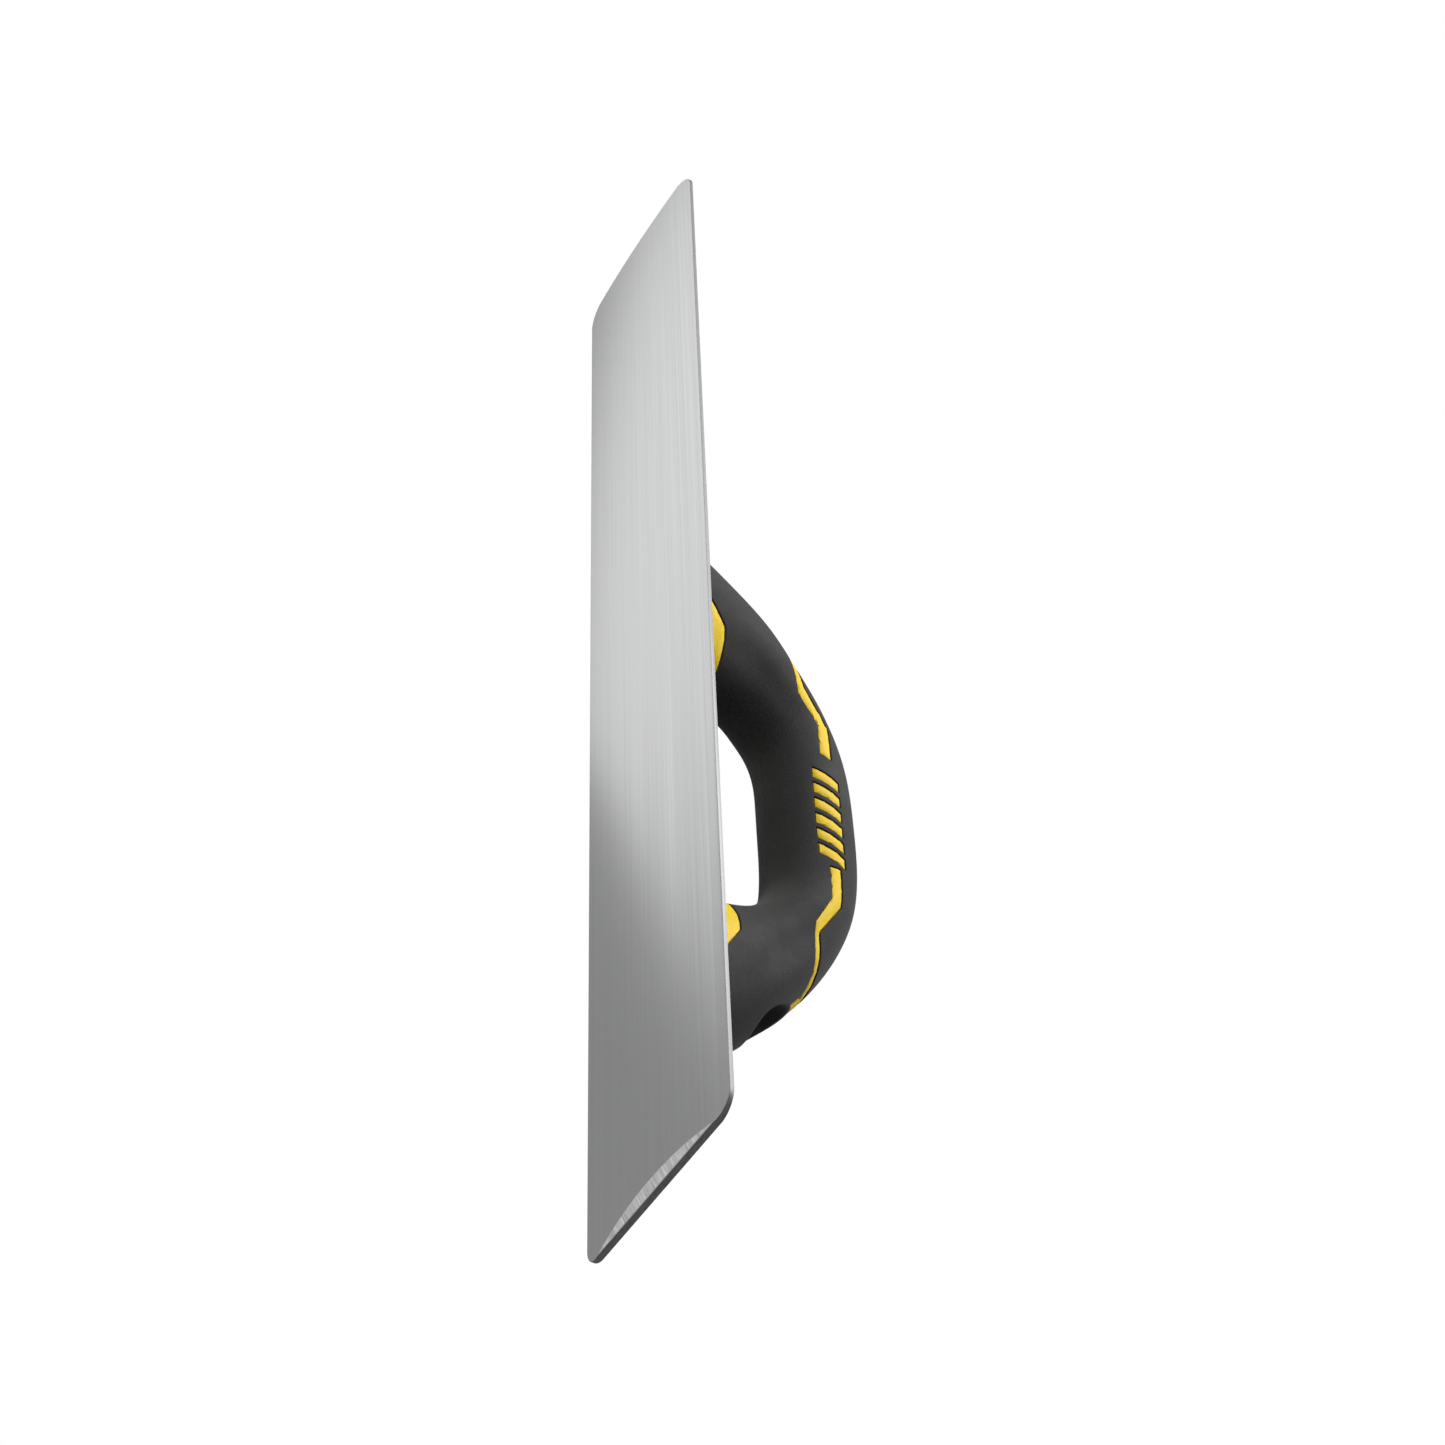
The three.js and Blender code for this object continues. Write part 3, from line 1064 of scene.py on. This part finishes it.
@dataclass
class HandleCore:
    """The yellow core, whose lands come through the grip's windows."""

    form: HandleForm
    rings: int = 200
    columns: int = 40
    inset: float = 1.6
    land_depth: float = 0.1
    land_lip: float = 0.35
    shank_hole: float = 3.4
    shank_floor: float = 6.0

    def seats(self) -> list[Outline]:
        """Lists the two screw channels."""
        return [circle(x, CHANNEL_RADIUS) for x in SCREW_LINES]

    def skin(self) -> HandleSkin:
        """Lays out the surface and cuts it along every land and screw channel."""
        skin = HandleSkin(self.form, self.rings, self.columns)
        for outline in LAND_OUTLINES:
            for offset in (0.0, -0.4 * self.land_lip, -self.land_lip):
                skin.cut(outline, offset)
        for seat in self.seats():
            skin.cut(seat, 0.0)
        skin.mirror()
        return skin

    def depth(self, station: np.ndarray, angle: np.ndarray, places: np.ndarray) -> np.ndarray:
        """Gives the depth of the lands: flutes, and rounded edges on each land."""
        total = self.form.hollows(station, angle) + self.land_depth
        nearest = np.min([np.abs(o.distance(places)) for o in LAND_OUTLINES], axis=0)
        return total + lip(nearest, self.land_lip)

    def build(self, effects: EffectLibrary) -> None:
        """Builds and dresses the core."""
        skin = self.skin()
        mesh = skin.mesh
        seats = set(skin.faces_inside(self.seats()))
        lands = [f for f in skin.faces_inside(LAND_OUTLINES) if f not in seats]
        raised = bmesh.ops.extrude_face_region(mesh, geom=lands)
        bmesh.ops.delete(mesh, geom=living(lands), context="FACES")
        tops = set(of_kind(raised["geom"], bmesh.types.BMVert))
        skin.settle(lambda station, angle, places: np.where(
            [v in tops for v in mesh.verts],
            self.depth(station, angle, places),
            self.form.hollows(station, angle) + self.inset,
        ))
        self.sink_seats(mesh, living(seats))
        bmesh.ops.holes_fill(mesh, edges=boundary(mesh), sides=0)
        bmesh.ops.recalc_face_normals(mesh, faces=mesh.faces)
        LOG.info("handle core: %d faces", len(mesh.faces))
        finish_piece(
            "handle_core_body", mesh, "handle_core", [YELLOW_CORE.material(effects)]
        )

    def sink_seats(self, mesh: bmesh.types.BMesh, faces: list) -> None:
        """Sinks both screw channels to their flat seats, with a hole for the shank below.

        Args:
            mesh: The core's mesh.
            faces: The faces over both channels.
        """
        reach = 2 * CHANNEL_RADIUS * MM
        shares = [
            [f for f in faces if abs(f.calc_center_median().x - x * MM) < reach]
            for x in SCREW_LINES
        ]
        for x, own in zip(SCREW_LINES, shares):
            centre = Vector((x * MM, 0.0, 0.0))
            inside = set(own)
            for vert in {v for f in own for v in f.verts}:
                if not inside.issuperset(vert.link_faces):
                    self.set_radius(vert, centre, CHANNEL_RADIUS)
            floor = self.sunk(mesh, own, SEAT_Z)
            seat = bmesh.ops.dissolve_faces(mesh, faces=floor)["region"]
            mouth = self.sunk(mesh, seat, SEAT_Z)
            for vert in {v for f in mouth for v in f.verts}:
                self.set_radius(vert, centre, self.shank_hole)
            self.sunk(mesh, mouth, self.shank_floor)

    def set_radius(self, vert: bmesh.types.BMVert, centre: Vector, radius: float) -> None:
        """Moves a vertex straight out or in to a radius, in millimetres, from an upright axis."""
        vert.co.xy = centre.xy + (vert.co - centre).xy.normalized() * radius * MM

    def sunk(self, mesh: bmesh.types.BMesh, faces: list, height: float) -> list:
        """Extrudes faces straight down to a height and drops the old ones.

        Args:
            mesh: The core's mesh.
            faces: The faces to extrude.
            height: The height that they come down to, in millimetres.

        Returns:
            The new faces.
        """
        drawn = bmesh.ops.extrude_face_region(mesh, geom=faces)["geom"]
        bmesh.ops.delete(mesh, geom=living(faces), context="FACES")
        for vert in of_kind(drawn, bmesh.types.BMVert):
            vert.co.z = height * MM
        return of_kind(drawn, bmesh.types.BMFace)


# ---------------------------------------------------------------------------------------------
# The fixings
# ---------------------------------------------------------------------------------------------


@dataclass
class Fixing:
    """One foot's boss, washers and screw."""

    end: str
    x: float
    boss_radius: float = 5.0
    boss_bore: float = 3.4
    boss_top: float = 17.0
    washer_radius: float = 7.4
    washer_hole: float = 3.4
    washer_thickness: float = 1.2
    lock_radius: float = 5.4
    lock_thickness: float = 1.5
    head_radius: float = 5.8
    head_height: float = 3.6
    shank_radius: float = 3.0
    shank_start: float = 6.0
    socket_half_flats: float = 2.5
    socket_depth: float = 2.2
    split_turn: float = math.radians(348)
    split_steps: int = 44
    split_rise: float = 0.3

    def stand(self, mesh: bmesh.types.BMesh) -> bmesh.types.BMesh:
        """Moves a piece spun about the origin to this foot's screw line."""
        bmesh.ops.translate(mesh, verts=mesh.verts, vec=(self.x * MM, 0, 0))
        return mesh

    def ring(self, inner: float, outer: float, low: float, high: float, edge: float):
        """Spins a flat ring with eased outer edges.

        Args:
            inner: The hole's radius in millimetres.
            outer: The outer radius.
            low: The height of its underside.
            high: The height of its top.
            edge: The width of its eased edges.

        Returns:
            The ring's bmesh, standing on the screw line.
        """
        profile = [
            (inner, low + edge), (inner + edge, low), (outer - edge, low), (outer, low + edge),
            (outer, high - edge), (outer - edge, high), (inner + edge, high), (inner, high - edge),
        ]
        return self.stand(spun(profile, closed=True))

    def lock_washer(self, low: float) -> bmesh.types.BMesh:
        """Spins a split ring whose two ends spring apart."""
        mesh = bmesh.new()
        high = low + self.lock_thickness - self.split_rise
        corners = [
            (self.washer_hole, low), (self.lock_radius, low),
            (self.lock_radius, high), (self.washer_hole, high),
        ]
        start = mesh.faces.new([mesh.verts.new((r * MM, 0, z * MM)) for r, z in corners])
        bmesh.ops.spin(
            mesh, geom=[*start.verts, *start.edges, start], cent=(0, 0, 0), axis=(0, 0, 1),
            angle=self.split_turn, steps=self.split_steps,
            dvec=(0, 0, self.split_rise * MM / self.split_steps), use_duplicate=False,
        )
        if start.is_valid and not any(len(e.link_faces) > 1 for e in start.edges):
            mesh.faces.remove(start)
        bmesh.ops.holes_fill(mesh, edges=boundary(mesh), sides=0)
        bmesh.ops.recalc_face_normals(mesh, faces=mesh.faces)
        return self.stand(mesh)

    def screw(self, low: float) -> bmesh.types.BMesh:
        """Spins a pan-headed screw and sinks a hexagon socket in its head."""
        top = low + self.head_height
        mouth = self.socket_half_flats + 0.9
        profile = [
            (0, self.shank_start), (self.shank_radius - 0.5, self.shank_start),
            (self.shank_radius, self.shank_start + 0.6), (self.shank_radius, low),
            (self.head_radius - 0.2, low), (self.head_radius, low + 0.25),
            (self.head_radius, low + 0.4 * self.head_height),
            (0.95 * self.head_radius, low + 0.68 * self.head_height),
            (0.82 * self.head_radius, low + 0.88 * self.head_height), (mouth, top),
        ]
        mesh = spun(profile, closed=False)
        crown = bmesh.ops.holes_fill(mesh, edges=boundary(mesh), sides=0)["faces"]
        bmesh.ops.inset_region(mesh, faces=crown, thickness=0.3 * MM, use_even_offset=True)
        for vert in {v for face in crown for v in face.verts}:
            turn = math.atan2(vert.co.y, vert.co.x) % (math.pi / 3) - math.pi / 6
            reach = self.socket_half_flats * MM / math.cos(turn)
            vert.co.xy = vert.co.xy.normalized() * reach
        drawn = bmesh.ops.extrude_face_region(mesh, geom=crown)["geom"]
        bmesh.ops.delete(mesh, geom=living(crown), context="FACES")
        for vert in of_kind(drawn, bmesh.types.BMVert):
            vert.co.z -= self.socket_depth * MM
        bmesh.ops.recalc_face_normals(mesh, faces=mesh.faces)
        return self.stand(mesh)

    def build(self, effects: EffectLibrary) -> None:
        """Builds and dresses the boss, the washers and the screw."""
        # The boss takes the same edge metal, whose dark colour is painted shade.
        alloy, zinc, black = (f.material(effects) for f in (MILLED_EDGE_PAINTED_SHADE, ZINC_PLATE, BLACK_OXIDE))
        flat_low = SEAT_Z + GAP
        lock_low = flat_low + self.washer_thickness + GAP
        screw_low = lock_low + self.lock_thickness + GAP
        boss = self.ring(self.boss_bore, self.boss_radius, FOOT_Z, self.boss_top, 0.4)
        flat = self.ring(
            self.washer_hole, self.washer_radius, flat_low, flat_low + self.washer_thickness, 0.15
        )
        pieces = (
            ("boss_post", "boss", Slot.BLADE, alloy, boss),
            ("plain_washer", "flat_washer", Slot.WASHER, zinc, flat),
            ("spring_washer", "lock_washer", Slot.WASHER, zinc, self.lock_washer(lock_low)),
            ("pan_screw", "screw", Slot.SCREW, black, self.screw(screw_low)),
        )
        for name, node, slot, finish, mesh in pieces:
            finish_piece(f"{self.end}_{name}", mesh, f"{self.end}_{node}", [finish])
        LOG.info("%s fixing: boss, two washers and a screw at x = %.1f mm", self.end, self.x)


# ---------------------------------------------------------------------------------------------
# The studio
# ---------------------------------------------------------------------------------------------


@dataclass(frozen=True)
class SoftBox:
    """A rectangular soft light aimed at a point."""

    name: str
    place: tuple[float, float, float]
    target: tuple[float, float, float]
    size: tuple[float, float]
    power: float

    def build(self) -> None:
        """Hangs the light."""
        data = bpy.data.lights.new(self.name, "AREA")
        data.shape = "RECTANGLE"
        data.size, data.size_y = self.size
        data.energy = self.power
        light = bpy.data.objects.new(self.name, data)
        aim = Vector(self.target) - Vector(self.place)
        turn = aim.to_track_quat("-Z", "Y").to_matrix().to_4x4()
        light.matrix_world = Matrix.Translation(self.place) @ turn
        light.visible_camera = False
        bpy.context.scene.collection.objects.link(light)


@dataclass
class Studio:
    """The pale floor, the soft lights, the white surroundings and the camera."""

    floor_size: float = 6.0
    fade_start: float = 0.25
    fade_end: float = 1.3
    camera_place: tuple[float, float, float] = (-0.7815, 0.5347, -0.3143)
    camera_right: tuple[float, float, float] = (-0.0312, 0.5117, 0.8586)
    camera_up: tuple[float, float, float] = (0.6470, 0.6651, -0.3728)
    lens: float = 72.59
    glow_below: float = 0.28
    glow_above: float = 0.42
    fill_below: float = 0.05
    fill_above: float = 0.34
    lights: tuple[SoftBox, ...] = (
        SoftBox("key", (0.35, 0.62, 0.38), (-0.05, 0, 0.04), (0.9, 0.9), 10.0),
        SoftBox("top", (0.4, 0.1, 1.4), (-0.07, 0, 0.04), (1.6, 1.2), 2.4),
        SoftBox("sweep", (0.314, -0.109, -0.176), (0, 0, 0), (0.403, 0.266), 0.215),
        SoftBox("heel_glint", (-0.19, -0.27, -0.42), (-0.25, 0, 0), (0.25, 0.25), 0.13),
    )

    def floor(self, effects: EffectLibrary) -> None:
        """Lays a pale floor, seen only from above, that fades into the white around it."""
        mesh = bmesh.new()
        bmesh.ops.create_grid(mesh, x_segments=2, y_segments=2, size=self.floor_size / 2)
        data = bpy.data.meshes.new("floor")
        mesh.to_mesh(data)
        mesh.free()
        floor = bpy.data.objects.new("floor", data)
        floor.location.z = -0.2 * MM
        bpy.context.scene.collection.objects.link(floor)
        maker = MaterialMaker("pale_floor")
        grain = maker.place(effects.moulded, Pebbles=400.0)
        tone = maker.blended(grain.outputs["Tone"], (0.8, 0.8, 0.79), (0.83, 0.83, 0.82))
        maker.feed("Base Color", tone)
        maker.feed("Roughness", maker.ranged(grain.outputs["Patches"], 0.7, 0.9))
        tree = maker.tree
        back = add_node(tree, "ShaderNodeNewGeometry").outputs["Backfacing"]
        away = add_node(
            tree, "ShaderNodeVectorMath", operation="LENGTH", in_0=maker.coordinates
        ).outputs["Value"]
        fade = add_node(
            tree, "ShaderNodeMapRange", interpolation_type="SMOOTHSTEP",
            in_From_Min=self.fade_start, in_From_Max=self.fade_end, in_Value=away,
        )
        hidden = add_node(
            tree, "ShaderNodeMath", operation="MAXIMUM", in_0=back, in_1=fade.outputs["Result"]
        )
        clear = add_node(tree, "ShaderNodeBsdfTransparent")
        mix = add_node(
            tree, "ShaderNodeMixShader",
            in_0=hidden.outputs[0], in_1=maker.shader.outputs[0], in_2=clear.outputs[0],
        )
        tree.links.new(mix.outputs[0], tree.nodes["Material Output"].inputs["Surface"])
        data.materials.append(maker.material)
        for ray in ("diffuse", "glossy", "transmission", "shadow"):
            setattr(floor, f"visible_{ray}", False)

    def surroundings(self) -> None:
        """Makes the white background, dimmer for the light that it throws."""
        world = bpy.data.worlds.new("studio")
        world.use_nodes = True
        tree = world.node_tree
        tree.nodes.remove(tree.nodes["Background"])
        direction = add_node(tree, "ShaderNodeTexCoord").outputs["Generated"]
        height = add_node(tree, "ShaderNodeSeparateXYZ", in_0=direction).outputs["Z"]
        path = add_node(tree, "ShaderNodeLightPath")
        glow = self.sky(tree, height, self.glow_below, self.glow_above)
        white = add_node(tree, "ShaderNodeBackground", in_Strength=1.0, in_Color=WHITE)
        light = self.sky(tree, height, self.fill_below, self.fill_above)
        for switch, seen in (("Is Glossy Ray", glow), ("Is Camera Ray", white)):
            light = add_node(
                tree, "ShaderNodeMixShader",
                in_0=path.outputs[switch], in_1=light.outputs[0], in_2=seen.outputs[0],
            )
        tree.links.new(light.outputs[0], tree.nodes["World Output"].inputs["Surface"])
        bpy.context.scene.world = world

    def sky(
        self, tree: bpy.types.NodeTree, height: bpy.types.NodeSocket, below: float, above: float
    ) -> bpy.types.Node:
        """Makes an even glow that rises from below to above.

        Args:
            tree: The world's node tree.
            height: The direction's height, from -1 to 1.
            below: The strength of the light from below.
            above: The strength of the light from above.

        Returns:
            The glow's Background node.
        """
        rise = add_node(
            tree, "ShaderNodeMapRange", interpolation_type="SMOOTHSTEP", in_Value=height,
            in_From_Min=0.1, in_From_Max=0.95, in_To_Min=below, in_To_Max=above,
        ).outputs[0]
        return add_node(tree, "ShaderNodeBackground", in_Strength=rise, in_Color=WHITE)

    def camera(self) -> None:
        """Stands the camera behind and below the blade, on the side of the handle's left."""
        data = bpy.data.cameras.new("camera")
        data.lens = self.lens
        data.sensor_width = 36.0
        data.clip_start = 0.01
        camera = bpy.data.objects.new("camera", data)
        right = Vector(self.camera_right).normalized()
        up = Vector(self.camera_up)
        up = (up - up.dot(right) * right).normalized()
        turn = Matrix((right, up, right.cross(up))).transposed().to_4x4()
        camera.matrix_world = Matrix.Translation(self.camera_place) @ turn
        bpy.context.scene.collection.objects.link(camera)
        bpy.context.scene.camera = camera

    def build(self, effects: EffectLibrary) -> None:
        """Sets up the whole studio."""
        self.floor(effects)
        self.surroundings()
        self.camera()
        for light in self.lights:
            light.build()
        bpy.context.scene.view_settings.view_transform = "Standard"
        LOG.info("studio: %d soft lights", len(self.lights))


def main() -> None:
    """Builds the trowel and its studio."""
    logging.basicConfig(level=logging.INFO, format="%(name)s: %(message)s")
    effects = EffectLibrary()
    form = HandleForm()
    Blade().build(effects)
    HandleCore(form).build(effects)
    SoftGrip(form).build(effects)
    Fixing("front", FRONT_SCREW_X).build(effects)
    Fixing("rear", REAR_SCREW_X).build(effects)
    Studio().build(effects)


if __name__ == "__main__":
    main()
